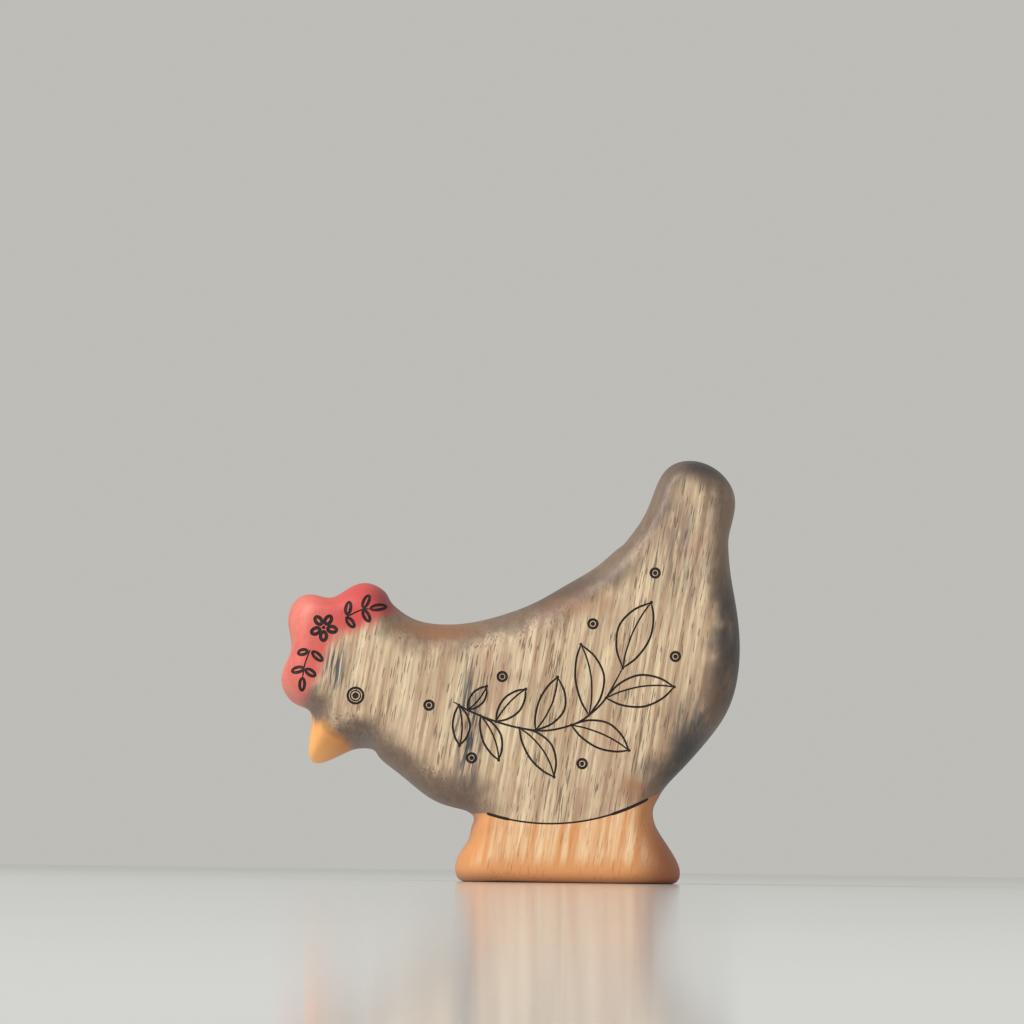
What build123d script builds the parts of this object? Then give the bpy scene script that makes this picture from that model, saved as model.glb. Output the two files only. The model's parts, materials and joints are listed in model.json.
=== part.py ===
from build123d import *
import os
from math import cos, hypot, pi, radians, sin

# A small hen sawn from one board of hardwood, rounded over by hand, stained in zones and
# engraved by laser. The wood is one blank; its stained zones and its charred marks are
# separate solids that meet face to face.
#
# Frame: +Z up, the hen looks along -X, its thickness lies along Y, and the origin is on the
# surface it stands on, under the middle of its outline. All lengths are in millimetres.

# ---- driving dimensions ----
THICKNESS = 20.0          # the board
CHAR_DEPTH = 0.3          # how deep the laser burned
LINE_WIDTH = 0.28         # one pass of the laser
HEM_WIDTH = 0.36          # the line between feathers and foot
RING_RADIUS = 0.72        # ring of a wing dot
DOT_RADIUS = 0.32         # its centre
EYE_RADIUS = 1.15
PUPIL_RADIUS = 0.5
PETAL_LENGTH = 1.7
PETAL_WIDTH = 1.05
TWIG_LEAF_WIDTH = 1.0

ROUND_SIDE = 2.5          # power of the rounded edge: 2 is an ellipse, more is fuller
ROUND_BEAK = 1.5          # the beak is sanded nearly to a wedge
ROUND_FOOT = 2.2
EDGE_STEPS = 6            # sections from the middle of the board to its face

# ---- the outline, in stations ----
# Each station is a point of the outline at the middle of the board, and the point of the
# flat side face where the rounded edge from there ends.
BACK = [
    ((-15.6, 37.8), (-16.5, 32.5)),
    ((-12.5, 36.4), (-12.5, 31.0)),
    ((-8.0, 36.2), (-8.0, 30.6)),
    ((-3.5, 37.0), (-2.5, 31.3)),
    ((2.0, 38.8), (3.5, 33.2)),
    ((7.0, 41.6), (9.5, 37.0)),
    ((12.4, 45.0), (14.9, 41.5)),
    ((15.1, 47.3), (17.6, 44.6)),
]
TAIL = [
    ((17.3, 49.8), (19.4, 47.4)),
    ((19.0, 52.7), (20.7, 50.5)),
    ((20.3, 56.0), (21.8, 53.6)),
    ((22.0, 58.8), (23.0, 55.8)),
    ((25.0, 59.8), (24.4, 56.4)),
    ((28.2, 59.0), (25.9, 55.6)),
    ((30.6, 56.9), (27.0, 53.8)),
    ((31.6, 53.8), (27.3, 51.5)),
    ((30.8, 49.6), (26.9, 48.2)),
]
RUMP = [
    ((30.8, 45.5), (26.3, 44.5)),
    ((31.6, 40.5), (26.3, 39.8)),
    ((32.4, 34.5), (26.6, 33.5)),
    ((32.0, 28.7), (26.1, 28.3)),
    ((30.2, 23.5), (24.6, 23.8)),
    ((27.0, 19.0), (22.3, 20.0)),
    ((23.6, 15.2), (20.0, 17.0)),
    ((21.4, 12.7), (18.7, 14.5)),
    ((20.4, 11.0), (17.8, 12.2)),
]
FOOT = [
    ((20.2, 9.5), (17.1, 10.1)),
    ((20.6, 8.0), (16.7, 7.9)),
    ((21.7, 6.2), (16.6, 6.1)),
    ((23.1, 4.1), (16.5, 4.2)),
    ((24.1, 2.0), (16.4, 2.4)),
    ((23.9, 0.4), (15.9, 1.4)),
    ((21.5, -0.8), (14.0, 0.9)),
    ((8.4, -1.0), (7.3, 0.8)),
    ((-4.5, -0.8), (0.0, 0.9)),
    ((-7.1, 0.4), (-1.8, 1.4)),
    ((-7.5, 2.0), (-2.3, 2.4)),
    ((-6.9, 4.0), (-2.5, 4.2)),
    ((-5.5, 6.4), (-2.7, 6.4)),
    ((-4.9, 8.3), (-2.9, 8.6)),
]
BREAST = [
    ((-5.4, 9.6), (-3.4, 10.9)),
    ((-7.0, 10.1), (-4.9, 12.8)),
    ((-10.2, 11.0), (-8.0, 14.9)),
    ((-13.2, 13.0), (-10.7, 16.9)),
    ((-16.2, 15.4), (-13.8, 18.9)),
    ((-18.8, 17.7), (-17.0, 21.0)),
]
BEAK = [
    ((-21.0, 18.5), (-19.6, 21.9)),
    ((-23.6, 17.6), (-21.6, 22.7)),
    ((-26.1, 16.4), (-23.0, 23.3)),
    ((-27.8, 16.2), (-23.9, 23.8)),
    ((-28.5, 17.3), (-24.4, 24.3)),
    ((-28.4, 19.8), (-24.7, 24.8)),
    ((-28.1, 22.2), (-25.0, 25.3)),
]
COMB = [
    ((-28.4, 23.8), (-25.5, 25.8)),
    ((-30.0, 24.4), (-26.3, 26.5)),
    ((-31.6, 25.6), (-27.2, 27.4)),
    ((-32.5, 27.6), (-27.8, 28.5)),
    ((-32.1, 29.7), (-28.1, 29.8)),
    ((-31.2, 31.6), (-28.1, 31.2)),
    ((-31.1, 33.4), (-28.0, 32.6)),
    ((-31.6, 35.8), (-27.8, 34.2)),
    ((-31.3, 38.2), (-27.4, 35.6)),
    ((-30.0, 39.8), (-26.6, 36.5)),
    ((-27.9, 40.1), (-25.5, 36.8)),
    ((-25.7, 39.6), (-24.2, 36.9)),
    ((-23.8, 40.6), (-22.8, 37.0)),
    ((-21.6, 41.8), (-21.2, 37.0)),
    ((-19.4, 41.6), (-19.7, 36.4)),
    ((-17.6, 40.2), (-18.2, 34.8)),
]
STRETCHES = (
    (BACK, ROUND_SIDE), (TAIL, ROUND_SIDE), (RUMP, ROUND_SIDE), (FOOT, ROUND_FOOT),
    (BREAST, ROUND_SIDE), (BEAK, ROUND_BEAK), (COMB, ROUND_SIDE),
)

# ---- where one stain ends and the next begins ----
COMB_LINE = [
    (-14.6, 38.6), (-17.0, 36.9), (-18.8, 36.0), (-22.7, 34.5),
    (-25.1, 32.6), (-26.7, 29.2), (-28.2, 25.3), (-28.6, 23.4),
]
BEAK_LINE = [(-28.6, 23.4), (-26.6, 22.2), (-23.6, 19.6), (-21.3, 17.6)]
HEM = [(-3.1, 9.4), (5.7, 8.1), (19.2, 11.7)]      # three points of one long arc

# ---- the engraving ----
EYE = (-21.5, 25.4)
WING_DOTS = [
    (-11.3, 24.2), (-1.2, 28.3), (-5.3, 17.0), (10.0, 16.4), (22.8, 31.4), (11.3, 35.8), (19.9, 43.0),
]
STEM = [(-7.6, 24.5), (-2.1, 22.1), (3.4, 21.0), (8.7, 21.8), (13.0, 25.2), (15.5, 29.7)]
# Each leaf: how far along the stem it grows, its heading in degrees, its length, how far
# its left and right edges bulge, and how far its midrib bends to the left.
LEAVES = [
    (0.02, -88, 5.6, 1.5, 0.9, 0.4),
    (0.07, 52, 4.2, 0.9, 1.0, -0.3),
    (0.15, -67, 6.6, 1.6, 1.0, 0.6),
    (0.22, 48, 6.1, 1.3, 1.4, 0.4),
    (0.34, -54, 8.3, 2.3, 1.2, 0.9),
    (0.42, 68, 8.0, 1.1, 2.6, -0.7),
    (0.60, -23, 8.7, 2.3, 1.4, 0.6),
    (0.70, 97, 9.9, 1.3, 2.7, -0.9),
    (0.82, 10, 9.6, 2.4, 2.0, 0.8),
    (1.00, 67, 10.0, 2.8, 1.8, 0.7),
]
BLOSSOM = (-26.1, 34.8)
PETAL_HEADINGS = (60, 128, 205, 270, 348)
# A comb twig is its stem, then each leaf by its root and its tip.
LOWER_TWIG = [(-27.9, 31.7), (-28.6, 29.7), (-28.9, 27.8)]
LOWER_TWIG_LEAVES = [
    ((-28.0, 31.5), (-29.8, 31.2)), ((-27.7, 31.5), (-26.1, 30.1)), ((-28.6, 29.1), (-30.6, 28.7)),
    ((-28.6, 29.0), (-27.0, 28.0)), ((-28.9, 27.8), (-29.0, 25.9)),
]
UPPER_TWIG = [(-23.2, 36.2), (-21.0, 37.3), (-19.8, 37.5)]
UPPER_TWIG_LEAVES = [
    ((-22.9, 36.5), (-22.6, 38.6)), ((-23.0, 36.3), (-21.8, 34.8)), ((-20.7, 37.5), (-19.9, 39.6)),
    ((-20.7, 37.4), (-19.7, 35.6)), ((-19.8, 37.5), (-17.4, 38.0)),
]

HALF = THICKNESS / 2
SIDE_PLANE = Plane.XZ       # drawings are made in X and Z; its normal is -Y
REACH = 60.0                # more than half the hen, for cutting shapes


# ---- the blank ----
def inset(outer, face, depth):
    """Move both points of a station towards the inside of the hen."""
    run = hypot(face[0] - outer[0], face[1] - outer[1])
    step = (depth * (face[0] - outer[0]) / run, depth * (face[1] - outer[1]) / run)
    return (outer[0] + step[0], outer[1] + step[1]), (face[0] + step[0], face[1] + step[1])


def outline_at(level, depth):
    """The outline's points at one level of the board: 0 is its middle, -1 and 1 its faces."""
    points = []
    for stations, power in STRETCHES:
        reach = (1 - abs(level) ** power) ** (1 / power)
        for outer, face in stations:
            outer, face = inset(outer, face, depth)
            x = face[0] + reach * (outer[0] - face[0])
            z = face[1] + reach * (outer[1] - face[1])
            points.append(Vector(x, level * (HALF - depth), z))
    return points


def section(level, depth):
    """One closed outline: a spline for each stretch, smooth from each stretch to the next."""
    middle = outline_at(0, 0)
    points = outline_at(level, depth)
    count = len(points)
    edges = []
    first = 0
    for stations, _ in STRETCHES:
        last = first + len(stations)
        through = [points[i % count] for i in range(first, last + 1)]
        slopes = [points[(i + 1) % count] - points[(i - 1) % count] for i in (first, last)]
        marks = [0.0]
        for i in range(first, last):
            gap = middle[(i + 1) % count] - middle[i]
            marks.append(marks[-1] + gap.length ** 0.5)
        edges.append(Edge.make_spline(through, tangents=slopes, parameters=marks))
        first = last
    return Wire(edges)


def blank(depth=0.0):
    """The rounded board, or the same shape a little smaller all round."""
    levels = [sin(pi / 2 * i / EDGE_STEPS) for i in range(-EDGE_STEPS, EDGE_STEPS + 1)]
    solid = Solid.make_loft([section(level, depth) for level in levels])
    above_table = Box(2 * REACH, 2 * REACH, 2 * REACH, align=(Align.CENTER, Align.CENTER, Align.MIN))
    return solid & above_table


# ---- flat drawings on the side of the hen ----
def cut_through(points_of_line, corners):
    """A prism right through the board, bounded by a spline and by straight cuts to the corners."""
    line = Spline(*points_of_line)
    rest = Polyline(points_of_line[-1], *corners, points_of_line[0])
    return extrude(SIDE_PLANE * make_face([line, rest]), amount=REACH, both=True)


def along(start, heading, length, left=0.0):
    """The point that lies so far ahead of the start and so far to the left."""
    a = radians(heading)
    return (start[0] + length * cos(a) - left * sin(a), start[1] + length * sin(a) + left * cos(a))


def stroke(*points, width=LINE_WIDTH):
    """One pass of the laser along a smooth line."""
    return trace(Spline(*points), width)


def leaf_drawing(base, heading, length, left, right, bend):
    tip = along(base, heading, length)
    drawing = stroke(base, along(base, heading, 0.5 * length, left), tip)
    drawing += stroke(base, along(base, heading, 0.5 * length, -right), tip)
    drawing += stroke(base, along(base, heading, 0.5 * length, bend), tip)
    return drawing


def ring_drawing(centre, radius, core):
    """A ring round a solid dot."""
    ring = Circle(radius) - Circle(radius - LINE_WIDTH) + Circle(core)
    return Pos(*centre) * ring


def petal_drawing(root, heading, length, width):
    """A small charred leaf or petal."""
    middle = along(root, heading, length / 2)
    return Pos(*middle) * Rot(0, 0, heading) * Ellipse(length / 2, width / 2)


def twig_drawing(stem, leaves):
    drawing = stroke(*stem, width=0.8 * LINE_WIDTH)
    for root, tip in leaves:
        run = (Vector(*tip) - Vector(*root))
        heading = Vector(1, 0).get_signed_angle(run)
        drawing += petal_drawing(root, heading, run.length, TWIG_LEAF_WIDTH)
    return drawing


def sprig_leaves_drawing():
    stem = Spline(*STEM)
    drawing = Sketch()
    for place, heading, length, left, right, bend in LEAVES:
        base = stem @ place
        drawing += leaf_drawing((base.X, base.Y), heading, length, left, right, bend)
    return drawing


def blossom_drawing():
    drawing = Pos(*BLOSSOM) * Circle(0.3)
    for heading in PETAL_HEADINGS:
        drawing += petal_drawing(along(BLOSSOM, heading, 0.35), heading, PETAL_LENGTH, PETAL_WIDTH)
    return drawing


def wing_dots_drawing():
    drawing = Sketch()
    for centre in WING_DOTS:
        drawing += ring_drawing(centre, RING_RADIUS, DOT_RADIUS)
    return drawing


sprig_stem = stroke(*STEM)
blossom = blossom_drawing()
DRAWINGS = {
    "eye": ring_drawing(EYE, EYE_RADIUS, PUPIL_RADIUS),
    "wing_dots": wing_dots_drawing(),
    "sprig_stem": sprig_stem,
    "sprig_leaves": sprig_leaves_drawing() - sprig_stem,
    "comb_blossom": blossom,
    "comb_lower_twig": twig_drawing(LOWER_TWIG, LOWER_TWIG_LEAVES) - blossom,
    "comb_upper_twig": twig_drawing(UPPER_TWIG, UPPER_TWIG_LEAVES),
    "hem_line": trace(ThreePointArc(*HEM), HEM_WIDTH),
}

# ---- the wood, zone by zone ----
hen = blank()
unburnt = blank(CHAR_DEPTH)

hem_arc = ThreePointArc(*HEM)
hem_rest = Polyline(HEM[-1], (40, 15), (40, -5), (-12, -5), (-12, 9.8), (-5, 9.8), HEM[0])
under_hem = extrude(SIDE_PLANE * make_face([hem_arc, hem_rest]), amount=REACH, both=True)
comb_side = cut_through(COMB_LINE, [(-40, 23.4), (-40, 46), (-15, 46)])
beak_side = cut_through(BEAK_LINE, [(-21.3, 12), (-40, 12), (-40, 23.4)])

zones = {
    "body": hen - comb_side - beak_side - under_hem,
    "comb": hen & comb_side,
    "beak": hen & beak_side,
    "foot_block": hen & under_hem,
}

# ---- the charred marks, the same on both sides ----
marks = {}
for name, drawing in DRAWINGS.items():
    for side, reach in (("left", REACH), ("right", -REACH)):
        through = extrude(SIDE_PLANE * drawing, amount=reach)
        marks[f"{name}_{side}"] = (through & hen) - unburnt

for zone in zones:
    for mark in marks.values():
        zones[zone] = zones[zone] - mark

os.makedirs("parts", exist_ok=True)
for name, shape in (zones | marks).items():
    export_step(shape, f"parts/{name}.step")
    print(name, len(shape.solids()), "solids", round(shape.volume, 3), "mm3")
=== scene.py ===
# %% [markdown]
# # A small engraved wooden hen
# The real hen is one block of open-pored hardwood. It was sawn from a board about 20 mm thick,
# rounded over by hand, stained in four zones, oiled, and engraved by a laser. Nothing on it moves.
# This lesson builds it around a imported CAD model, which fixes every size. The CAD surfaces are
# right but machine-made, so the wood is rebuilt here from the same solids and softened a little.

# %% Load the frame
import json
import math

import bpy
import numpy as np
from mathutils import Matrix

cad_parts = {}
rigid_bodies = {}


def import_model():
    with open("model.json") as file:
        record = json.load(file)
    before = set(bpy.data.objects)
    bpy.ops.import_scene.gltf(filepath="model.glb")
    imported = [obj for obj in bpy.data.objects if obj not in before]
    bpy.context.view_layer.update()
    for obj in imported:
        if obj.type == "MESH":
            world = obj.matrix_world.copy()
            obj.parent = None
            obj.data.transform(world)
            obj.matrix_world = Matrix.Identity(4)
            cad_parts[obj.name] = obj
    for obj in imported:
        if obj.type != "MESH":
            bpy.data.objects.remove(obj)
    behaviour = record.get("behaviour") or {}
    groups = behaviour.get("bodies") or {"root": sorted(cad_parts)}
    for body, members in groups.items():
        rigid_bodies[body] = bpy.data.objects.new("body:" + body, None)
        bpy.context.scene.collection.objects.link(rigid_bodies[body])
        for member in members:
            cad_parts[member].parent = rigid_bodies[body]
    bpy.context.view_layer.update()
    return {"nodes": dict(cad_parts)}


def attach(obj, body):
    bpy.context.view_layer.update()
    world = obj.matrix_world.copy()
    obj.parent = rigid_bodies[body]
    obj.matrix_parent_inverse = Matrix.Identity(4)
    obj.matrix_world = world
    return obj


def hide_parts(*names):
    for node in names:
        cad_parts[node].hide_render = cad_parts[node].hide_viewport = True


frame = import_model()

import openvdb as vdb
from mathutils import Euler, Vector

MM = 0.001                       # lengths below are in millimetres, and meshes are in metres
WOOD_NODES = ("body", "comb", "beak", "foot_block")
scene = bpy.context.scene

# %% [markdown]
# ## Reading the CAD solids as a field
# A level set stores, on a regular lattice, how far each point is from the surface: negative
# inside, positive outside. It is a good tool for a carved block. All the solids melt into one, the
# thin grooves close, and sanding is just a blur. Growing the surface by one cell and taking
# that away again is what closes the grooves and the joints between the zones.

# %% Level set of the whole block
VOXEL = 0.3
MELT_BAND_CELLS = 4.0            # how far from the surface the first level set reaches
BAND_CELLS = 6                   # and the second, which has to reach below the grooves
HOLD = 2                         # spare cells round the block


def cad_triangles():
    points, triangles, count = [], [], 0
    for node in sorted(frame["nodes"]):
        mesh = frame["nodes"][node].data
        mesh.calc_loop_triangles()
        places = np.zeros(len(mesh.vertices) * 3, np.float32)
        mesh.vertices.foreach_get("co", places)
        corners = np.zeros(len(mesh.loop_triangles) * 3, np.int32)
        mesh.loop_triangles.foreach_get("vertices", corners)
        points.append(places.reshape(-1, 3) / MM)
        triangles.append(corners.reshape(-1, 3) + count)
        count += len(mesh.vertices)
    return np.concatenate(points), np.concatenate(triangles).astype(np.uint32)


lattice = vdb.createLinearTransform(voxelSize=VOXEL)
points, triangles = cad_triangles()
melted = vdb.FloatGrid.createLevelSetFromPolygons(
    points, triangles=triangles, transform=lattice, halfWidth=MELT_BAND_CELLS)
grown, _, grown_quads = melted.convertToPolygons(VOXEL)
closed = vdb.FloatGrid.createLevelSetFromPolygons(
    grown, quads=grown_quads, transform=lattice, halfWidth=float(BAND_CELLS))
low, high = (np.array(corner) for corner in closed.evalActiveVoxelBoundingBox())
low, high = low - HOLD, high + HOLD
field = np.zeros(high - low + 1, np.float32)
closed.copyToArray(field, ijk=tuple(int(v) for v in low))
field += VOXEL
print("lattice of", field.shape, "cells of", VOXEL, "mm")

# %% [markdown]
# ## Sanding by hand
# Sandpaper takes off every crisp edge and leaves faint hollows and swellings that no machine
# makes. A short blur along each axis does the first. The second is a handful of long, weak
# waves with seeded directions. The foot is cut flat again afterwards, because it has to stand.

# %% Blur and waves
BLUR = 0.45                      # mm, the radius that sanding softens
WAVE_HEIGHT = 0.022              # mm, each wave
WAVE_COUNT = 7


def blurred(values, radius):
    reach = int(math.ceil(3 * radius / VOXEL))
    offsets = np.arange(-reach, reach + 1)
    weights = np.exp(-0.5 * (offsets * VOXEL / radius) ** 2)
    weights /= weights.sum()
    for axis in range(3):
        padded = np.moveaxis(np.pad(values, reach, mode="edge"), axis, 0)
        total = sum(w * padded[k:k + values.shape[axis]] for k, w in enumerate(weights))
        keep = [slice(reach, -reach)] * 3
        keep[axis] = slice(None)
        values = np.moveaxis(total, 0, axis)[tuple(keep)].astype(np.float32)
    return values


def lattice_axes():
    return [((np.arange(n) + start) * VOXEL).astype(np.float32) for n, start in zip(field.shape, low)]


field = blurred(field, BLUR)
xs, ys, zs = lattice_axes()
dice = np.random.default_rng(7)
for _ in range(WAVE_COUNT):
    wave = dice.normal(size=3)
    wave *= 2 * math.pi / dice.uniform(9, 18) / np.linalg.norm(wave)
    turn = dice.uniform(0, 2 * math.pi)
    field += WAVE_HEIGHT * np.sin(
        wave[0] * xs[:, None, None] + wave[1] * ys[None, :, None] + wave[2] * zs[None, None, :] + turn)
field = np.maximum(field, -zs[None, None, :]).astype(np.float32)
print("the sanded field runs from", round(float(field.min()), 1), "to", round(float(field.max()), 1), "mm")


def depth_field(places):
    """The field at any points in mm, by mixing the eight lattice cells around each."""
    at = np.clip(places / VOXEL - low, 0, np.array(field.shape) - 1.001)
    cell = at.astype(int)
    part = at - cell
    total = np.zeros(len(at), np.float32)
    for corner in range(8):
        step = np.array([(corner >> axis) & 1 for axis in range(3)])
        share = np.prod(np.where(step, part, 1 - part), axis=1)
        total += share * field[tuple((cell + step).T)]
    return total


def outward(places):
    """The direction out of the wood at points near its surface."""
    reach = 0.8 * VOXEL
    slopes = [depth_field(places + step) - depth_field(places - step) for step in reach * np.eye(3)]
    slopes = np.stack(slopes, axis=1)
    return slopes / np.maximum(np.linalg.norm(slopes, axis=1, keepdims=True), 1e-9)


# %% [markdown]
# ## From field to mesh
# Asking the field for the surface at a depth of zero gives the wood. Asking for it a fraction
# of a millimetre deeper gives the floor of the engraving, which follows the rounded edges.

# %% Surfaces at a depth
GROOVE_DEPTH = 0.26              # mm, burnt away by the laser
CHAR_SUNK = 0.09                 # mm, how far the charred floor lies under the surface


def make_mesh(name, places, faces):
    mesh = bpy.data.meshes.new(name)
    mesh.from_pydata((np.asarray(places) * MM).tolist(), [], faces)
    mesh.update()
    return mesh


def wood_surface(name, depth):
    grid = vdb.FloatGrid(float(VOXEL * BAND_CELLS))
    grid.transform = lattice
    grid.copyFromArray(field, ijk=tuple(int(v) for v in low))
    places, _, quads = grid.convertToPolygons(-depth)
    mesh = make_mesh(name, places, quads.tolist())
    print(name, "at", depth, "mm:", len(mesh.polygons), "faces")
    return mesh


def work_object(mesh):
    item = bpy.data.objects.new(mesh.name, mesh)
    scene.collection.objects.link(item)
    return item


block = wood_surface("block", 0.0)
floor_of_grooves = work_object(wood_surface("floor_of_grooves", GROOVE_DEPTH))
sunk_surface = work_object(wood_surface("sunk_surface", CHAR_SUNK))

# %% [markdown]
# ## Cutting with booleans
# The block is sawn into its stained zones, and the drawing is cut into it, by booleans.
# Blender's manifold solver is fast and keeps closed meshes closed, so every cutter is closed too.

# %% One boolean step
def boolean(mesh, operation, cutter):
    item = work_object(mesh)
    step = item.modifiers.new("step", "BOOLEAN")
    step.solver = "MANIFOLD"
    step.operation = operation
    if isinstance(cutter, bpy.types.Collection):
        step.operand_type = "COLLECTION"
        step.collection = cutter
    else:
        step.object = cutter
    result = bpy.data.meshes.new_from_object(item.evaluated_get(bpy.context.evaluated_depsgraph_get()))
    result.materials.clear()
    bpy.data.objects.remove(item)
    return result


def gathered(name, meshes):
    group = bpy.data.collections.new(name)
    scene.collection.children.link(group)
    for mesh in meshes:
        group.objects.link(bpy.data.objects.new(mesh.name, mesh))
    return group


def discard(group):
    for item in list(group.objects):
        bpy.data.objects.remove(item)
    bpy.data.collections.remove(group)


# %% [markdown]
# ## Lines, rings and leaves as cutters
# The laser draws on the side of the hen, so each stroke is a flat ribbon in X and Z that is
# pushed through the side. A stroke that swells and thins looks drawn, and one of even width
# looks printed, so each ribbon has a width for every point.

# %% Ribbons and discs
NEAR_SIDE, FAR_SIDE = -12.5, -4.0      # mm, Y of both ends of a cutter on the left side
ROUND_STEPS = 28


def curve_through(points, count=24):
    """A smooth line through a few points (a Catmull-Rom spline), as evenly many points in all."""
    p = np.array(points, float)
    if len(p) == 2:
        return p[0] + np.linspace(0, 1, count)[:, None] * (p[1] - p[0])
    p = np.vstack([2 * p[0] - p[1], p, 2 * p[-1] - p[-2]])
    places = []
    for t in np.linspace(0, len(p) - 3 - 1e-6, count):
        k, u = int(t), t - int(t)
        a, b, c, d = p[k:k + 4]
        places.append(0.5 * (2 * b + (c - a) * u + (2 * a - 5 * b + 4 * c - d) * u ** 2
                             + (3 * b - a - 3 * c + d) * u ** 3))
    return np.array(places)


def prism(name, rows, closed_ring=False):
    """A closed solid from rows of two points (the ribbon's left and right edges)."""
    left, right = rows
    count = len(left)
    places = [(x, y, z) for y in (NEAR_SIDE, FAR_SIDE) for x, z in np.vstack([left, right])]
    faces = []
    for k in range(count if closed_ring else count - 1):
        n = (k + 1) % count
        a, b, c, d = k, n, count + n, count + k
        up = 2 * count
        faces += [(a, b, c, d), (a + up, d + up, c + up, b + up)]
        faces += [(a, a + up, b + up, b), (d, c, c + up, d + up)]
    if not closed_ring:
        for k, flip in ((0, 1), (count - 1, -1)):
            cap = (k, count + k, 3 * count + k, 2 * count + k)
            faces.append(cap[::flip])
    return oriented(make_mesh(name, places, faces))


def oriented(mesh):
    """Faces turned to look outwards, judged by the sign of the volume."""
    mesh.calc_loop_triangles()
    volume = sum(
        Vector(mesh.vertices[a].co).dot(Vector(mesh.vertices[b].co).cross(mesh.vertices[c].co))
        for a, b, c in (t.vertices for t in mesh.loop_triangles))
    if volume < 0:
        mesh.flip_normals()
    return mesh


def stroke(points, width, end_width=0.5, count=24):
    """One pass of the laser: full width along the line, narrowed to a share of it at both ends."""
    line = curve_through(points, count)
    slope = np.gradient(line, axis=0)
    slope /= np.linalg.norm(slope, axis=1, keepdims=True)
    side = np.stack([-slope[:, 1], slope[:, 0]], axis=1)
    share = np.linspace(-1, 1, count)
    half = 0.5 * width * (end_width + (1 - end_width) * (1 - share ** 8))[:, None]
    return prism("stroke", (line + half * side, line - half * side))


def oval(centre, length, width, heading=0.0):
    a = np.linspace(0, 2 * math.pi, ROUND_STEPS, endpoint=False)
    turn = math.radians(heading)
    x, z = 0.5 * length * np.cos(a), 0.5 * width * np.sin(a)
    return np.stack([centre[0] + x * math.cos(turn) - z * math.sin(turn),
                     centre[1] + x * math.sin(turn) + z * math.cos(turn)], axis=1)


def ring(centre, length, width, line, heading=0.0):
    outer = oval(centre, length, width, heading)
    inner = oval(centre, length - 2 * line, width - 2 * line, heading)
    return prism("ring", (outer, inner), closed_ring=True)


def disc(centre, length, width=None, heading=0.0):
    outer = oval(centre, length, width or length, heading)
    count = len(outer)
    places = [(x, y, z) for y in (NEAR_SIDE, FAR_SIDE) for x, z in outer]
    faces = [tuple(range(count)), tuple(range(2 * count - 1, count - 1, -1))]
    faces += [(k, k + count, (k + 1) % count + count, (k + 1) % count) for k in range(count)]
    return oriented(make_mesh("disc", places, faces))


# %% [markdown]
# ## The drawing
# A leaf needs only six facts: where it grows on the stem, its heading, its length, how far its
# two edges bulge and how far its midrib bends. The tips and the joints on the stem get a small
# dot, because the laser dwells there and burns a little more.

# %% The wing's sprig
LINE = 0.3                       # mm, one pass of the laser
STEM = [
    (-7.9, 24.7), (-5.5, 23.4), (-2.1, 22.1), (1.4, 21.2), (5.0, 20.9),
    (8.7, 21.8), (11.0, 23.2), (13.2, 25.5), (15.5, 29.7),
]
STEM_SAMPLES = 160
LEAVES = [
    (0.03, -88, 5.6, 1.5, 0.9, 0.4), (0.08, 52, 4.2, 0.9, 1.0, -0.3), (0.15, -67, 6.6, 1.6, 1.0, 0.6),
    (0.23, 48, 6.1, 1.3, 1.4, 0.4), (0.35, -54, 8.3, 2.3, 1.2, 0.9), (0.43, 68, 8.0, 1.1, 2.6, -0.7),
    (0.61, -23, 8.7, 2.3, 1.4, 0.6), (0.71, 97, 9.9, 1.3, 2.7, -0.9), (0.83, 10, 9.6, 2.4, 2.0, 0.8),
    (1.00, 67, 10.0, 2.8, 1.8, 0.7),
]
stem_line = curve_through(STEM, STEM_SAMPLES)
stem_run = np.insert(np.cumsum(np.linalg.norm(np.diff(stem_line, axis=0), axis=1)), 0, 0)


def on_stem(share):
    along = share * stem_run[-1]
    return np.array([np.interp(along, stem_run, stem_line[:, axis]) for axis in (0, 1)])


def ahead(start, heading, length, left=0.0):
    a = math.radians(heading)
    return np.array([start[0] + length * math.cos(a) - left * math.sin(a),
                     start[1] + length * math.sin(a) + left * math.cos(a)])


def bowed(base, heading, length, bulge):
    """Points of a leaf's edge or rib, which bulges most a little past its middle."""
    steps = ((0.0, 0.0), (0.22, 0.68), (0.52, 1.0), (0.8, 0.66), (1.0, 0.0))
    return [ahead(base, heading, share * length, rise * bulge) for share, rise in steps]


def leaf(share, heading, length, left, right, bend):
    base = on_stem(share)
    tip = ahead(base, heading, length)
    parts = [stroke(bowed(base, heading, length, bulge), width)
             for bulge, width in ((left, LINE), (-right, LINE), (bend, 0.8 * LINE))]
    return parts + [disc(tip, 1.5 * LINE), disc(base, 1.4 * LINE)]


sprig_stem = [stroke(STEM, 0.95 * LINE, count=60)]
sprig_leaves = [part for facts in LEAVES for part in leaf(*facts)]
print("sprig:", len(sprig_leaves), "cutters on", round(stem_run[-1], 1), "mm of stem")

# %% [markdown]
# ## Eye, ring dots, comb twigs and hem
# The eye is two rings round a dot. The small leaves on the comb are drawn as closed ovals, and
# the hem line between feathers and foot is heavy at its ends and a hair's breadth in between.

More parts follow.
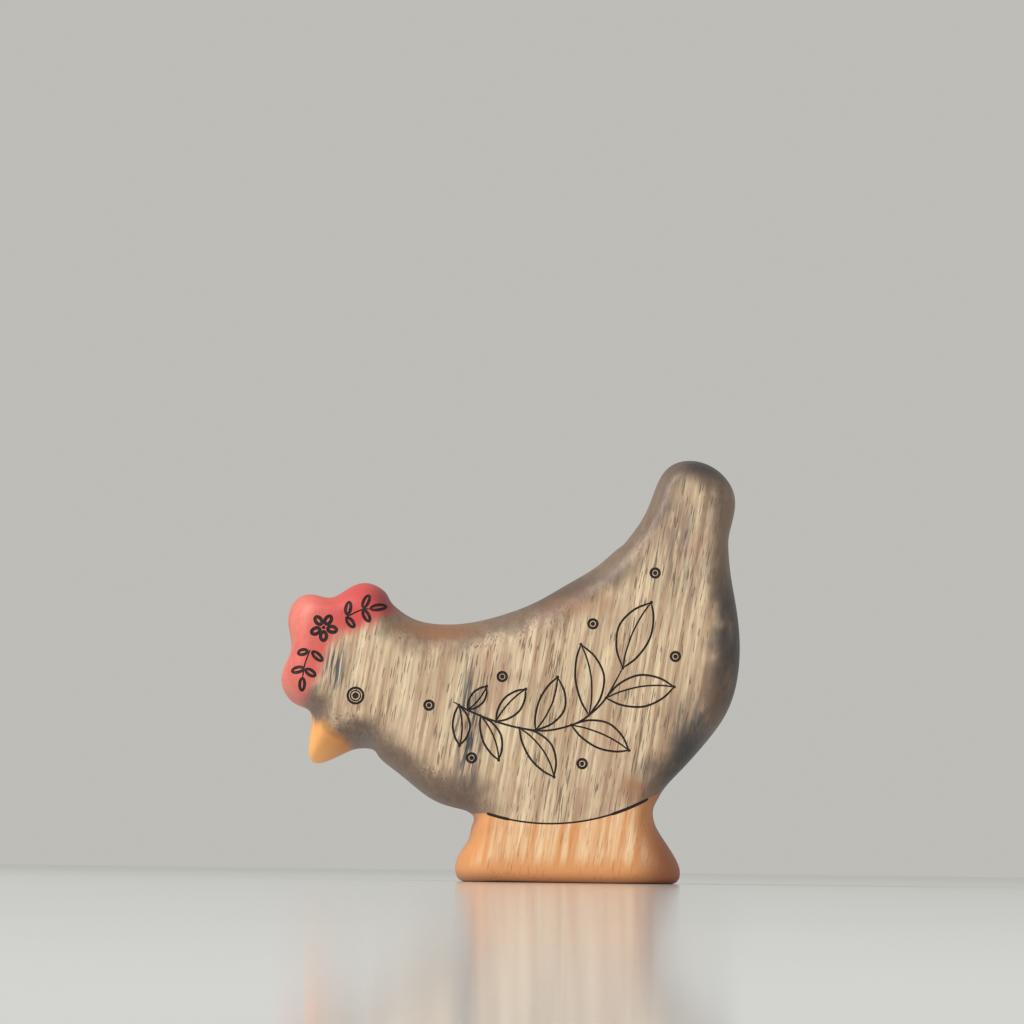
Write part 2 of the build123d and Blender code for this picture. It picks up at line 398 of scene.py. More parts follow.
# %% The smaller marks
EYE = (-21.5, 25.4)
WING_DOTS = [
    (-11.3, 24.2), (-1.2, 28.3), (-5.3, 17.0), (10.0, 16.4), (22.8, 31.4), (11.3, 35.8), (19.9, 43.0),
]
BLOSSOM = (-26.1, 34.8)
PETAL_HEADINGS = (60, 128, 205, 270, 348)
LOWER_TWIG = [(-27.9, 31.7), (-28.6, 29.7), (-28.9, 27.8)]
LOWER_LEAVES = [                 # each leaf of a twig by its root and its tip
    ((-28.1, 31.5), (-29.8, 31.2)), ((-27.7, 31.5), (-26.1, 30.1)), ((-28.6, 29.1), (-30.6, 28.7)),
    ((-28.6, 29.0), (-27.0, 28.0)), ((-28.9, 27.9), (-29.0, 25.9)),
]
UPPER_TWIG = [(-23.2, 36.2), (-21.0, 37.3), (-19.8, 37.5)]
UPPER_LEAVES = [
    ((-22.9, 36.5), (-22.6, 38.6)), ((-23.0, 36.3), (-21.8, 34.8)), ((-20.7, 37.5), (-19.9, 39.6)),
    ((-20.7, 37.4), (-19.7, 35.6)), ((-19.8, 37.5), (-17.4, 38.0)),
]
HEM = [(-3.1, 9.4), (5.7, 8.1), (19.2, 11.7)]


def ring_dot(centre):
    return [ring(centre, 1.6, 1.6, 0.38), disc(centre, 0.62)]


def small_leaf(root, tip, width=1.15, line=0.46):
    run = np.subtract(tip, root)
    heading = math.degrees(math.atan2(run[1], run[0]))
    return ring((root + run / 2), np.hypot(*run), width, line, heading)


def twig(stem, leaves):
    return [stroke(stem, 0.7 * LINE)] + [small_leaf(np.array(root), np.array(tip)) for root, tip in leaves]


def arc_through(a, b, c, count):
    """Points of the circular arc through three points."""
    (ax, az), (bx, bz), (cx, cz) = a, b, c
    d = 2 * (ax * (bz - cz) + bx * (cz - az) + cx * (az - bz))
    squares = [x * x + z * z for x, z in (a, b, c)]
    ux = (squares[0] * (bz - cz) + squares[1] * (cz - az) + squares[2] * (az - bz)) / d
    uz = (squares[0] * (cx - bx) + squares[1] * (ax - cx) + squares[2] * (bx - ax)) / d
    radius = math.hypot(ax - ux, az - uz)
    start, end = (math.atan2(z - uz, x - ux) for x, z in (a, c))
    turns = np.linspace(start, end, count)
    return np.stack([ux + radius * np.cos(turns), uz + radius * np.sin(turns)], axis=1)


hem_arc = arc_through(*HEM, 49)
petals = [
    small_leaf(ahead(BLOSSOM, heading, 0.35), ahead(BLOSSOM, heading, 2.05), 1.3, 0.5)
    for heading in PETAL_HEADINGS
]
hem_line = [
    stroke(hem_arc, 0.24, count=49),
    stroke(hem_arc[:8], 0.4),
    stroke(hem_arc[-13:], 0.42),
]
MARKS = {
    "eye": [ring(EYE, 2.5, 2.5, 0.34), ring(EYE, 1.6, 1.6, 0.2), disc(EYE, 0.9)],
    "wing_dots": [part for centre in WING_DOTS for part in ring_dot(centre)],
    "sprig_stem": sprig_stem,
    "sprig_leaves": sprig_leaves,
    "comb_blossom": petals + [disc(BLOSSOM, 0.5)],
    "comb_lower_twig": twig(LOWER_TWIG, LOWER_LEAVES),
    "comb_upper_twig": twig(UPPER_TWIG, UPPER_LEAVES),
    "hem_line": hem_line,
}
print({name: len(parts) for name, parts in MARKS.items()}, "cutters")

# %% [markdown]
# ## Grooves and their charred floors
# All strokes of a mark are joined, and the floor surface is taken away from them. What is left is
# the groove. The part of it that lies under the sunk surface is the charred wood inside. The
# right side repeats the left side's drawing, mirrored through the middle of the board.

# %% Cut the grooves, keep the char
def mirrored(mesh):
    copy = mesh.copy()
    places = np.zeros(len(copy.vertices) * 3, np.float32)
    copy.vertices.foreach_get("co", places)
    places = places.reshape(-1, 3) * (1, -1, 1)
    copy.vertices.foreach_set("co", places.ravel())
    copy.flip_normals()
    return copy


def joined(meshes):
    """One closed solid from several that may cross each other."""
    if len(meshes) == 1:
        return meshes[0]
    rest = gathered("rest", meshes[1:])
    whole = boolean(meshes[0], "UNION", rest)
    discard(rest)
    return whole


def cut_with(mesh, operation, cutter_mesh):
    cutter = work_object(cutter_mesh)
    result = boolean(mesh, operation, cutter)
    bpy.data.objects.remove(cutter)
    return result


through = {name: joined(parts) for name, parts in MARKS.items()}
through["sprig_leaves"] = cut_with(through["sprig_leaves"], "DIFFERENCE", through["sprig_stem"])
drawing = joined([mesh.copy() for mesh in through.values()])
chars = {}
for side in ("left", "right"):
    if side == "right":
        drawing = mirrored(drawing)
        through = {name: mirrored(mesh) for name, mesh in through.items()}
    block = cut_with(block, "DIFFERENCE", boolean(drawing.copy(), "DIFFERENCE", floor_of_grooves))
    for name, mesh in through.items():
        groove = boolean(mesh.copy(), "DIFFERENCE", floor_of_grooves)
        chars[f"{name}_{side}"] = boolean(groove, "INTERSECT", sunk_surface)
print(len(chars), "charred marks")

# %% [markdown]
# ## Sawing the block into its stained zones
# Red, orange, grey-brown and amber meet on lines that run right through the board, so each
# zone is cut by a closed curtain. The visible border isn't this cut, though: the stains fade
# into each other across it, and only the hem is crisp.

# %% Zones
COMB_LINE = [
    (-14.6, 38.6), (-17.0, 36.9), (-18.8, 36.0), (-22.7, 34.5),
    (-25.1, 32.6), (-26.7, 29.2), (-28.2, 25.3), (-28.6, 23.4),
]
BEAK_LINE = [(-28.6, 23.4), (-26.6, 22.2), (-23.6, 19.6), (-21.3, 17.6)]
comb_line = curve_through(COMB_LINE, 40)
beak_line = curve_through(BEAK_LINE, 24)


CURTAIN_REACH = 15.0             # mm to either side, past both faces of the board


def curtain(name, line, corners):
    """A closed solid through the whole board, between a line and corners outside the hen."""
    outline = np.vstack([line, corners])
    count = len(outline)
    places = [(x, y, z) for y in (-CURTAIN_REACH, CURTAIN_REACH) for x, z in outline]
    faces = [tuple(range(count)), tuple(range(2 * count - 1, count - 1, -1))]
    faces += [(k, k + count, (k + 1) % count + count, (k + 1) % count) for k in range(count)]
    return oriented(make_mesh(name, places, faces))


curtains = {
    "comb": curtain("comb_curtain", comb_line, [(-40, 23.4), (-40, 46), (-14.6, 46)]),
    "beak": curtain("beak_curtain", beak_line, [(-21.3, 12), (-40, 12), (-40, 23.4)]),
    "foot_block": curtain(
        "foot_curtain", hem_arc, [(40, 15), (40, -5), (-12, -5), (-12, 9.8), (-5, 9.8)]),
}
zones = {}
for name, sheet in curtains.items():
    zones[name] = cut_with(block.copy(), "INTERSECT", sheet)
    block = cut_with(block, "DIFFERENCE", sheet)
zones["body"] = block
for item in (floor_of_grooves, sunk_surface):
    bpy.data.objects.remove(item)
print({name: len(mesh.polygons) for name, mesh in zones.items()})

# %% [markdown]
# ## Where the stain and the painted shade went
# Stain soaks deeper into end grain and gathers on rounded edges, while the flat side was sanded
# paler again. The darkening of the rounded edges is also partly painted shade, where they turn
# away from the light. Those places depend on the shape, so they are worked out from it and stored
# on the mesh as attributes, which a material can read: the distance from the outline as seen from
# the side, and how far each point is past the border of a zone.

# %% Distances in the side view
BATCH = 64                       # border cells measured at once, to spare memory


def outline_distance():
    """For each lattice cell of the side view, the distance in mm to the nearest cell outside."""
    inside = field.min(axis=1) < 0
    border = np.zeros_like(inside)
    for axis in (0, 1):
        for step in (1, -1):
            border |= ~inside & np.roll(inside, step, axis)
    bx, bz = (edge.astype(np.float32) for edge in np.nonzero(border))
    cx, cz = np.nonzero(inside)
    nearest = np.zeros(inside.shape, np.float32)
    best = np.full(len(cx), np.inf, np.float32)
    for start in range(0, len(bx), BATCH):
        dx = cx[:, None] - bx[None, start:start + BATCH]
        dz = cz[:, None] - bz[None, start:start + BATCH]
        best = np.minimum(best, (dx * dx + dz * dz).min(axis=1))
    nearest[cx, cz] = np.sqrt(best) * VOXEL
    return nearest


def signed_side(places, line):
    """Distance in mm from a line in the side view, positive on its left."""
    best = np.full(len(places), np.inf)
    sign = np.zeros(len(places))
    for a, b in zip(line, line[1:]):
        run = b - a
        t = np.clip(((places - a) @ run) / (run @ run), 0, 1)
        gap = places - (a + t[:, None] * run)
        distance = np.hypot(gap[:, 0], gap[:, 1])
        cross = run[0] * (places[:, 1] - a[1]) - run[1] * (places[:, 0] - a[0])
        closer = distance < best
        best = np.where(closer, distance, best)
        sign = np.where(closer, np.sign(cross), sign)
    return best * sign


rim_map = outline_distance()
print("the board is at most", round(2 * float(rim_map.max()), 1), "mm across in the side view")

# %% [markdown]
# ## Dressing a zone
# A carved mesh has two kinds of face: the sanded skin and the burnt walls of the grooves. They
# are told apart by the field, which knows how deep a face lies and which way the wood's skin
# looks there. The skin also gets the field's own direction as its normal, so that its shading is
# smooth right up to a groove. Each border of a stain runs on past the hen, because the distance
# from a line that ends inside it would change sides beyond that end.

# %% Maps for stain and painted shade, and faces
SKIN_DEPTH = 0.045               # mm, what still counts as skin
SKIN_FACING = 0.6                # cosine between a skin face and the field's direction
BURNT_REACH = 1.3 * GROOVE_DEPTH
BORDERS = {
    "comb_side": np.vstack([[(-14.6, 60)], comb_line]),
    "beak_side": np.vstack([beak_line, [(-21.3, 0)]]),
    "hem_side": np.vstack([[(-20, 6), (-5.8, 9.4)], hem_arc]),
}


def rim_at(places):
    at = places[:, [0, 2]] / VOXEL - low[[0, 2]]
    at = np.clip(at, 0, np.array(rim_map.shape) - 1.001)
    cell = at.astype(int)
    part = at - cell
    total = np.zeros(len(at))
    for step in ((0, 0), (1, 0), (0, 1), (1, 1)):
        share = np.prod(np.where(step, part, 1 - part), axis=1)
        total += share * rim_map[tuple((cell + step).T)]
    return total


def paint(mesh, name, values):
    layer = mesh.attributes.new(name, "FLOAT", "POINT")
    layer.data.foreach_set("value", np.asarray(values, np.float32))


def dress(mesh):
    """Store the maps for stain and painted shade, mark the burnt faces, and give the skin its true
    normals.
    """
    places = np.zeros(len(mesh.vertices) * 3, np.float32)
    mesh.vertices.foreach_get("co", places)
    places = places.reshape(-1, 3) / MM
    paint(mesh, "rim", rim_at(places))
    for name, border in BORDERS.items():
        paint(mesh, name, -signed_side(places[:, [0, 2]], border))
    count = len(mesh.polygons)
    centres = np.zeros(count * 3, np.float32)
    mesh.polygons.foreach_get("center", centres)
    centres = centres.reshape(-1, 3) / MM
    normals = np.zeros(count * 3, np.float32)
    mesh.polygons.foreach_get("normal", normals)
    normals = normals.reshape(-1, 3)
    depth = depth_field(centres)
    skin = (depth > -SKIN_DEPTH) & ((outward(centres) * normals).sum(axis=1) > SKIN_FACING)
    burnt = ~skin & (depth > -BURNT_REACH)
    mesh.polygons.foreach_set("material_index", burnt.astype(np.int32))
    mesh.polygons.foreach_set("use_smooth", np.ones(count, bool))
    corner_point = np.zeros(len(mesh.loops), np.int32)
    mesh.loops.foreach_get("vertex_index", corner_point)
    lengths = np.zeros(count, np.int32)
    mesh.polygons.foreach_get("loop_total", lengths)
    corner_face = np.repeat(np.arange(count), lengths)
    smooth = outward(places)[corner_point]
    corner_normals = np.where(skin[corner_face][:, None], smooth, normals[corner_face])
    mesh.normals_split_custom_set(corner_normals.tolist())
    print(mesh.name, count, "faces,", int(burnt.sum()), "burnt")


for name, mesh in zones.items():
    mesh.name = f"wood_{name}"
    dress(mesh)

# %% [markdown]
# ## Colours and nodes
# Colours are chosen as sRGB hex values, which is how a paint shop or a screen shows them. The
# shader wants linear light, so one function turns the one into the other. A second small helper
# adds a node of any kind, sets it and links it, and hands back one of its outputs.

# %% Two helpers
def linear(code):
    channels = [int(code[k:k + 2], 16) / 255 for k in (1, 3, 5)]
    return [c / 12.92 if c <= 0.04045 else ((c + 0.055) / 1.055) ** 2.4 for c in channels] + [1.0]


def add(tree, kind, settings, *values, take=None, **named):
    """A node with its settings. Values and sockets go to its inputs in order, or by name.

    It hands back the output called take, or else the first that is in use.
    """
    node = tree.nodes.new("ShaderNode" + kind)
    for name, value in settings.items():
        setattr(node, name, value)
    given = list(zip([socket for socket in node.inputs if socket.enabled], values))
    given += [(node.inputs[name], value) for name, value in named.items()]
    for socket, value in given:
        if isinstance(value, bpy.types.NodeSocket):
            tree.links.new(value, socket)
        else:
            socket.default_value = value
    return node.outputs[take] if take else next(socket for socket in node.outputs if socket.enabled)


OVER = {"data_type": "RGBA"}                            # share, colour below, colour on top
SOFT_STEP = {"interpolation_type": "SMOOTHSTEP"}        # value, start, end, level there, level here
PLUS, MINUS, TIMES = ({"operation": name} for name in ("ADD", "SUBTRACT", "MULTIPLY"))
# the same and one more, held between 0 and 1
JOIN, WITHOUT, BOTH, EITHER = (
    {"operation": name, "use_clamp": True} for name in ("ADD", "SUBTRACT", "MULTIPLY", "MAXIMUM"))
print("linear mid grey:", [round(value, 3) for value in linear("#808080")])

# %% [markdown]
# ## The grain of an open-pored hardwood
# Walnut, oak and their kin are open-pored: the vessels show as dark dashes along the grain,
# about 0.15 mm wide and a few millimetres long, in bands that follow the growth rings. The
# grain stands nearly upright here and leans about nine degrees. Noise that is stretched along
# the grain makes all of it. It could be painted by hand on an unwrapped mesh, but noise in three
# dimensions runs through the block, so that the end grain and the edges join up by themselves.

# %% Grain
GRAIN_LEAN = 9.0                 # degrees from upright, towards the tail
# Sizes in mm: across, across and along the grain. Single fibres are about 0.02 mm wide, too fine
# to show, so they are drawn as bundles.
FIBRE = (0.28, 0.28, 7.0)        # a bundle of fibres
STREAK = (0.9, 1.6, 22.0)        # a band of lighter or darker wood
PORE = (0.17, 0.17, 2.6)         # one open vessel
RING_BAND = (3.2, 4.0, 60.0)     # growth rings, which gather the pores
CLOUD = (6.0, 6.0, 8.0)          # stain that soaked in unevenly
BLUE_STREAK = (0.36, 0.36, 5.0)  # vessels that took up blue-black stain


def along_grain(tree, size, detail=3.0, rough=0.55, shift=0.0):
    """Noise whose grains have a size in mm, turned to lie along the wood's grain."""
    place = add(tree, "TexCoord", {}, take="Object")
    lean = (0, math.radians(GRAIN_LEAN), 0)
    turned = add(tree, "Mapping", {"vector_type": "TEXTURE"}, place, (0, 0, 0), lean)
    stretch = [1 / (length * MM) for length in size]
    scaled = add(tree, "Mapping", {}, turned, (shift, shift, shift), (0, 0, 0), stretch)
    return add(tree, "TexNoise", {}, scaled, 1.0, detail, rough)


def open_pores(tree):
    """1 in a vessel and 0 beside it. In a ring's dense band, weaker noise already makes a vessel."""
    bands = add(tree, "MapRange", SOFT_STEP, along_grain(tree, RING_BAND, 1.0, shift=3.1), 0.42, 0.62)
    threshold = add(tree, "MapRange", SOFT_STEP, bands, 0.0, 1.0, 0.66, 0.585)
    over = add(tree, "Math", MINUS, along_grain(tree, PORE, 1.0, 0.4, shift=7.7), threshold)
    return add(tree, "MapRange", SOFT_STEP, over, 0.0, 0.05)


def grain(tree):
    streak = along_grain(tree, STREAK, 3.0, 0.6, shift=1.3)
    place = add(tree, "TexCoord", {}, take="Object")
    return {
        "fibre": along_grain(tree, FIBRE, 3.0, 0.6),
        "streak": add(tree, "MapRange", SOFT_STEP, streak, 0.34, 0.66),
        "pore": open_pores(tree),
        "cloud": along_grain(tree, CLOUD, 3.0, 0.6, shift=5.2),
        "place": add(tree, "VectorMath", {"operation": "SCALE"}, place, 1 / MM),
    }


print("pores", PORE[0], "mm wide and", PORE[2], "mm long")

# %% [markdown]
# ## Where stain gathered, and painted shade
# Stain was wiped on by hand, and it is darkest, rustiest or bluest in a few places. The dark
# places are partly painted shade as well, on the rump, under it, on the tail's top and along the
# back. Each place is an oval in the side view that fades towards its border. The distances that
# were stored on the mesh come back through Attribute nodes.

# %% Patches
# each patch: its centre in X and Z, its reach in X and Z, its strength
# the dark patches are partly stain and partly painted shade: the rump, under it, the tail's top and the
# back
DARK_STAIN_AND_SHADE_PATCHES = (
    ((31, 33), (7, 16), 1.0), ((27, 60), (9, 7), 0.9), ((24, 17), (7, 8), 0.8), ((3, 41), (17, 5), 0.5),
)
RUST_PATCHES = (
    ((-10, 35), (8, 3), 0.8), ((8, 39), (7, 3.5), 0.6), ((29, 27), (4, 7), 0.4), ((17, 13), (3, 3), 0.7),
)
BLUE_PATCHES = (
    ((-5.8, 21), (2.6, 13), 1.0), ((-24.5, 29), (2.4, 6), 0.9), ((-20, 20), (4, 2), 0.3),
    ((23.5, 46), (6, 13), 0.4), ((25, 22), (5, 6), 0.6),
)


def patch(tree, place, centre, reach):
    """1 in the middle of an oval seen from the side, fading to 0 at its border."""
    shifted = add(tree, "VectorMath", MINUS, place, (centre[0], 0, centre[1]))
    shrunk = add(tree, "VectorMath", TIMES, shifted, (1 / reach[0], 0, 1 / reach[1]))
    length = add(tree, "VectorMath", {"operation": "LENGTH"}, shrunk)
    return add(tree, "MapRange", SOFT_STEP, length, 1.0, 0.2)


def patches(tree, place, facts):
    total = 0.0
    for centre, reach, strength in facts:
        one = add(tree, "Math", BOTH, patch(tree, place, centre, reach), strength)
        total = add(tree, "Math", EITHER, one, total)
    return total


def stored(tree, name):
    return add(tree, "Attribute", {"attribute_name": name}, take="Fac")


print(len(DARK_STAIN_AND_SHADE_PATCHES), "dark,", len(RUST_PATCHES), "rusty and", len(BLUE_PATCHES), "blue patches")

# %% [markdown]
# ## Grey-brown feathers
# The flat side was sanded after staining, so it is pale and warm and shows streaks, fibres and
# pores. Towards the rounded edges the stain stays, first brown, then nearly black where a dark
# patch meets the edge; this darkening is partly stain and partly painted shade, where the edges,
# the rump and the tail turn from the light. Rust and blue-black lie over that.

# %% Feather stain
FIELD_PALE, FIELD_TAN, FIELD_ROSE = "#d8c2a0", "#ab8c6e", "#a8806a"
PORE_BROWN, PORE_BLUE = "#5b4a3c", "#323a44"
# the brown and the near-black edge colours are partly stain and partly painted shade on the rounded edges
EDGE_BROWN_AND_SHADE, EDGE_DARK_AND_SHADE, EDGE_RUST = "#6b5445", "#322e2c", "#8f6040"


def feather_colour(tree, wood):
    field = add(tree, "Mix", OVER, wood["streak"], linear(FIELD_TAN), linear(FIELD_PALE))
    rose = add(tree, "MapRange", SOFT_STEP, wood["cloud"], 0.5, 0.75, 0.0, 0.6)
    field = add(tree, "Mix", OVER, rose, field, linear(FIELD_ROSE))
    lines = add(tree, "MapRange", SOFT_STEP, wood["fibre"], 0.35, 0.65, 0.28, 0.0)
    field = add(tree, "Mix", OVER, lines, field, linear(PORE_BROWN))
    uneven = add(tree, "MapRange", SOFT_STEP, wood["cloud"], 0.3, 0.7, -1.4, 1.4)
    from_rim = add(tree, "Math", PLUS, stored(tree, "rim"), uneven)
    # the edge band is partly stain and partly painted shade, where the rounded edges turn from the light
    edge = add(tree, "Math", BOTH, add(tree, "MapRange", SOFT_STEP, from_rim, 6.0, 1.8), 0.85)
    colour = add(tree, "Mix", OVER, edge, field, linear(EDGE_BROWN_AND_SHADE))
    rust = patches(tree, wood["place"], RUST_PATCHES)
    colour = add(tree, "Mix", OVER, rust, colour, linear(EDGE_RUST))
    # painted shade together with stain: the dark patches, and a little of it along every edge
    dark = add(tree, "Math", JOIN, patches(tree, wood["place"], DARK_STAIN_AND_SHADE_PATCHES), 0.15)
    deep = add(tree, "Math", BOTH, add(tree, "MapRange", SOFT_STEP, from_rim, 5.5, 0.5), dark)
    colour = add(tree, "Mix", OVER, deep, colour, linear(EDGE_DARK_AND_SHADE))
    vessels = add(tree, "MapRange", SOFT_STEP, along_grain(tree, BLUE_STREAK, 2.0, shift=9.1), 0.44, 0.56)
    blue = add(tree, "Math", BOTH, patches(tree, wood["place"], BLUE_PATCHES), vessels)
    colour = add(tree, "Mix", OVER, blue, colour, linear(PORE_BLUE))
    return add(tree, "Mix", OVER, add(tree, "Math", BOTH, wood["pore"], 0.75), colour, linear(PORE_BROWN))


print("feathers run from", FIELD_PALE, "to", EDGE_DARK_AND_SHADE)

# %% [markdown]
# ## Coral comb, orange beak
# These two stains are thicker and hide more of the grain. The comb gets a painted highlight,
# pinker on its front lobes, and painted shade, darkest behind where it meets the neck. The beak
# has painted light: paler at its tip, with painted shade towards the throat.

# %% Comb and beak stains
# the comb's pink is a painted highlight, and its dark colour serves both the pores and a painted shade
COMB_RED, COMB_PAINTED_HIGHLIGHT, COMB_SHADE_AND_PORE = "#bd4543", "#cf7362", "#862b30"
# the beak's pale orange is its painted lit side, and its deep colour serves both the pores and a painted
# shade
BEAK_LIT_ORANGE, BEAK_SHADE_AND_PORE = "#eaa65e", "#bf742e"


def comb_colour(tree, wood):
    # painted highlight: the front lobes, towards the light, are pinker
    front = add(tree, "MapRange", SOFT_STEP, add(tree, "SeparateXYZ", {}, wood["place"]), -22.0, -32.0)
    colour = add(tree, "Mix", OVER, front, linear(COMB_RED), linear(COMB_PAINTED_HIGHLIGHT))
    cloud = add(tree, "MapRange", SOFT_STEP, wood["cloud"], 0.4, 0.7, 0.0, 0.5)
    colour = add(tree, "Mix", OVER, cloud, colour, linear(COMB_RED))
    # painted shade at the rear of the comb, where it meets the neck
    shaded_rear = patch(tree, wood["place"], (-16.5, 39.5), (4.5, 5))
    colour = add(tree, "Mix", OVER, shaded_rear, colour, linear(COMB_SHADE_AND_PORE))
    return add(tree, "Mix", OVER, add(tree, "Math", BOTH, wood["pore"], 0.3), colour, linear(COMB_SHADE_AND_PORE))


def beak_colour(tree, wood):
    # painted light and shade: pale at the lit tip, darker towards the throat
    shaded_throat = add(tree, "MapRange", SOFT_STEP, add(tree, "SeparateXYZ", {}, wood["place"]), -28.0, -21.5)
    colour = add(tree, "Mix", OVER, shaded_throat, linear(BEAK_LIT_ORANGE), linear(BEAK_SHADE_AND_PORE))
    return add(tree, "Mix", OVER, add(tree, "Math", BOTH, wood["pore"], 0.25), colour, linear(BEAK_SHADE_AND_PORE))


print("comb", COMB_RED, "and beak", BEAK_LIT_ORANGE)

# %% [markdown]
# ## Amber foot
# The foot has the palest streaks of all in its flat field. Amber gathers on its rounded edges.
# Its rear flare is darkened to a burnt orange as painted shade, and it is darker towards the sole.

# %% Foot stain
# the deep colour serves the pores, the painted shade of the rear flare and the darkening towards the sole
FOOT_PALE, FOOT_AMBER, FOOT_DEEP = "#e4c79e", "#ca8a54", "#7e4020"


def foot_colour(tree, wood):
    field = add(tree, "Mix", OVER, wood["streak"], linear(FOOT_AMBER), linear(FOOT_PALE))
    lines = add(tree, "MapRange", SOFT_STEP, wood["fibre"], 0.4, 0.7, 0.35, 0.0)
    field = add(tree, "Mix", OVER, lines, field, linear(FOOT_AMBER))
    edge = add(tree, "MapRange", SOFT_STEP, stored(tree, "rim"), 4.5, 1.5)
    colour = add(tree, "Mix", OVER, edge, field, linear(FOOT_AMBER))
    # painted shade: the rear flare, turned from the light, is darkened to burnt orange
    shaded_rear = add(tree, "SeparateXYZ", {}, wood["place"], take="X")
    shaded_rear = add(tree, "MapRange", SOFT_STEP, shaded_rear, 16.5, 22.0, 0.0, 0.85)
    colour = add(tree, "Mix", OVER, shaded_rear, colour, linear(FOOT_DEEP))
    sole = add(tree, "SeparateXYZ", {}, wood["place"], take="Z")
    sole = add(tree, "MapRange", SOFT_STEP, sole, 2.0, 0.0, 0.0, 0.55)
    colour = add(tree, "Mix", OVER, sole, colour, linear(FOOT_DEEP))
    return add(tree, "Mix", OVER, add(tree, "Math", BOTH, wood["pore"], 0.3), colour, linear(FOOT_DEEP))


print("foot", FOOT_AMBER)

# %% [markdown]
# ## One material for each stained zone
# Every zone's material can make all four colours and picks by the stored distances, so the
# colour runs on without a step where two zones meet. A fade is as wide as the brush left it:
# about two millimetres round the comb and the beak, and only a hair at the hem, where the burnt
# line stopped the stain. Hand-rubbed oil dries to a satin: the roughness is middling, the IOR is
# that of linseed oil, and a faint coat gives the edges their soft shine. The pores stay open, so
# they sink a little in the bump.

# %% Stained hardwood
FADES = (("comb_side", comb_colour, 1.1), ("beak_side", beak_colour, 0.9))     # mm, half of each fade
FADE_HEM = 0.12
GRAIN_RELIEF = 0.03              # mm, how far the fibres stand over the pores
OIL_IOR = 1.47


def stained_wood(name):
    material = bpy.data.materials.new(name)
    material.use_nodes = True
    tree = material.node_tree
    shader = tree.nodes["Principled BSDF"]
    wood = grain(tree)
    colour = feather_colour(tree, wood)
    uneven = add(tree, "MapRange", SOFT_STEP, wood["cloud"], 0.2, 0.8, -0.8, 0.8)
    for border, stain_colour, fade in FADES:
        past = add(tree, "Math", PLUS, stored(tree, border), uneven)
        share = add(tree, "MapRange", SOFT_STEP, past, -fade, fade)
        colour = add(tree, "Mix", OVER, share, colour, stain_colour(tree, wood))
    share = add(tree, "MapRange", SOFT_STEP, stored(tree, "hem_side"), -FADE_HEM, FADE_HEM)
    colour = add(tree, "Mix", OVER, share, colour, foot_colour(tree, wood))
    tree.links.new(colour, shader.inputs["Base Color"])
    fibres = add(tree, "MapRange", SOFT_STEP, wood["fibre"], 0.3, 0.7, 0.5, 0.8)
    relief = add(tree, "Math", WITHOUT, fibres, wood["pore"])
    bump = add(tree, "Bump", {}, Strength=0.55, Distance=GRAIN_RELIEF * MM, Height=relief)
    tree.links.new(bump, shader.inputs["Normal"])
    gloss = add(tree, "MapRange", SOFT_STEP, wood["fibre"], 0.3, 0.7, 0.58, 0.48)
    tree.links.new(gloss, shader.inputs["Roughness"])
    shader.inputs["IOR"].default_value = OIL_IOR
    shader.inputs["Coat Weight"].default_value = 0.06
    shader.inputs["Coat Roughness"].default_value = 0.32
    return material


# each of these materials also carries painted highlight and painted shade: on the comb, the beak, the
# foot's rear flare and the feathers' edges and dark patches
# slot of each zone, and the material that fills it
stains = {
    "body": ("feather_stain", stained_wood("grey-brown stained, oiled hardwood")),
    "comb": ("comb_stain", stained_wood("coral stained, oiled hardwood")),
    "beak": ("beak_stain", stained_wood("orange stained, oiled hardwood")),
    "foot_block": ("foot_stain", stained_wood("amber stained, oiled hardwood")),
}
print([material.name for slot, material in stains.values()])

# %% [markdown]
# ## Charred wood
# A laser turns wood to charcoal: nearly black, quite dull, and a little brown where less burned.

# %% Char
CHAR_SPECK = 0.5                 # mm


def charred_wood(name):
    material = bpy.data.materials.new(name)
    material.use_nodes = True
    tree = material.node_tree
    shader = tree.nodes["Principled BSDF"]
    place = add(tree, "TexCoord", {}, take="Object")
    speck = add(tree, "TexNoise", {}, place, 1 / (CHAR_SPECK * MM), 2.0)
    brown = add(tree, "MapRange", SOFT_STEP, speck, 0.4, 0.75)
    colour = add(tree, "Mix", OVER, brown, linear("#120d0b"), linear("#33211a"))
    tree.links.new(colour, shader.inputs["Base Color"])
    shader.inputs["Roughness"].default_value = 0.85
    return material


char = charred_wood("laser-charred hardwood")
print(char.name)

# %% [markdown]
# ## Putting the pieces in place
# Each new piece stands for one CAD node and rides on the same body, which here is the only one.
# A wood piece carries the char as its second material, for the burnt walls of its grooves.

# %% Pieces
def place_piece(name, mesh, node, materials):
    piece = bpy.data.objects.new(name, mesh)
    scene.collection.objects.link(piece)
    for material in materials:
        mesh.materials.append(material)
    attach(piece, "root")
    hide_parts(node)


for node, (slot, material) in stains.items():
    place_piece(f"{node}_wood", zones[node], node, (material, char))
for node, mesh in chars.items():
    place_piece(f"{node}_char", mesh, node, (char,))

# %% [markdown]
# ## Table
# The hen stands on a pale table top with a satin paint. Seen almost from its own level, even a
# satin surface mirrors, so the foot and the feathers show in it, softened.

# %% Pale table
TABLE_SIZE = 6000.0              # mm


def pale_table():
    material = bpy.data.materials.new("satin painted table top")
    material.use_nodes = True
    tree = material.node_tree
    shader = tree.nodes["Principled BSDF"]
    place = add(tree, "TexCoord", {}, take="Object")
    speck = add(tree, "TexNoise", {}, place, 40.0, 3.0)
    colour = add(tree, "Mix", OVER, speck, linear("#cfd2d3"), linear("#d8dadb"))
    tree.links.new(colour, shader.inputs["Base Color"])
    shader.inputs["Roughness"].default_value = 0.1
    return material


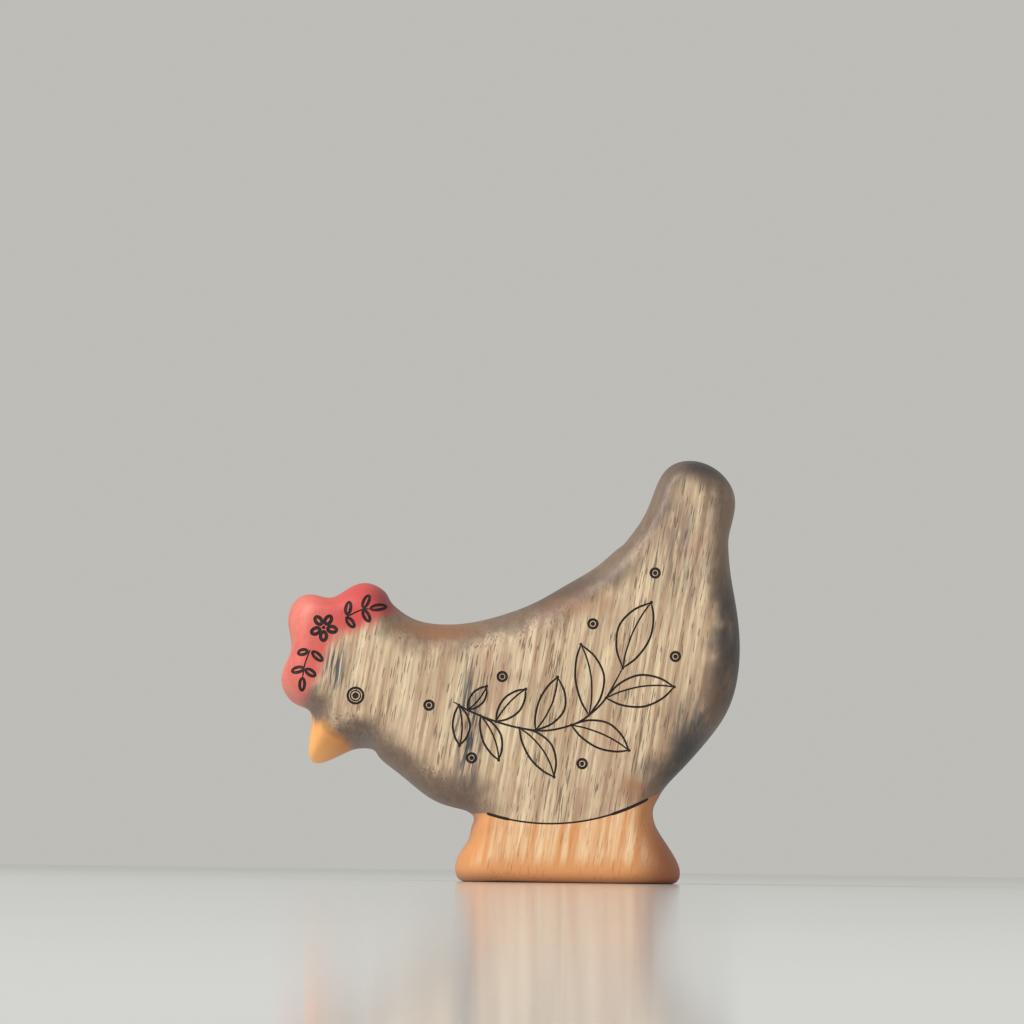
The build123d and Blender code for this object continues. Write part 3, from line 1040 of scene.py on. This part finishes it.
edge = TABLE_SIZE / 2
corners = [(-edge, -edge, 0), (edge, -edge, 0), (edge, edge, 0), (-edge, edge, 0)]
table_mesh = make_mesh("table", corners, [(0, 1, 2, 3)])
table_mesh.materials.append(pale_table())
table = bpy.data.objects.new("table", table_mesh)
scene.collection.objects.link(table)
print("table", TABLE_SIZE, "mm wide")

# %% [markdown]
# ## Light
# A room with pale walls lights the hen from all round. One large soft light hangs high on its
# left, like a window, and a weak one fills from the right, like a wall that the window lights.

# %% World and lamps
HEN_MIDDLE = (0, 0, 28)
world = bpy.data.worlds.new("studio")
world.use_nodes = True
walls = world.node_tree.nodes["Background"]
walls.inputs["Color"].default_value = linear("#cccbc5")
walls.inputs["Strength"].default_value = 0.85
scene.world = world


def soft_light(name, place, size, power):
    """A square lamp that looks at the hen. Place and size are in mm, the power in watts."""
    lamp = bpy.data.lights.new(name, "AREA")
    lamp.shape = "RECTANGLE"
    lamp.size = size * MM
    lamp.size_y = size * MM
    lamp.energy = power
    item = bpy.data.objects.new(name, lamp)
    item.location = Vector(place) * MM
    item.rotation_euler = (Vector(HEN_MIDDLE) - Vector(place)).to_track_quat("-Z", "Y").to_euler()
    scene.collection.objects.link(item)
    print(name, power, "W")


soft_light("window", (-420, -300, 430), 420, 5.0)
soft_light("bounce", (420, -420, 160), 400, 0.9)

# %% [markdown]
# ## Camera
# A macro lens stands barely above the table, looks up past the hen, and is held a little askew.

# %% Macro lens
DISTANCE = 424.0                 # mm, from the lens to the middle of the board
CAMERA_X = -0.15
CAMERA_HEIGHT = 1.8
AIM_HEIGHT = 52.5
TILT = 0.75                      # degrees, the camera's roll
camera_data = bpy.data.cameras.new("macro")
camera_data.lens = 105.0
camera_data.sensor_width = 36.0
camera_data.clip_start = 0.01
camera = bpy.data.objects.new("macro", camera_data)
camera.location = Vector((CAMERA_X, -DISTANCE, CAMERA_HEIGHT)) * MM
pitch = math.atan2(AIM_HEIGHT - CAMERA_HEIGHT, DISTANCE)
look_up = Euler((math.pi / 2 + pitch, 0, 0)).to_matrix()
roll = Euler((0, 0, math.radians(TILT))).to_matrix()
camera.rotation_euler = (look_up @ roll).to_euler()
scene.collection.objects.link(camera)
scene.camera = camera
scene.view_settings.view_transform = "Standard"      # the hex colours come out as they were chosen
print("camera looks up by", round(math.degrees(pitch), 1), "degrees")
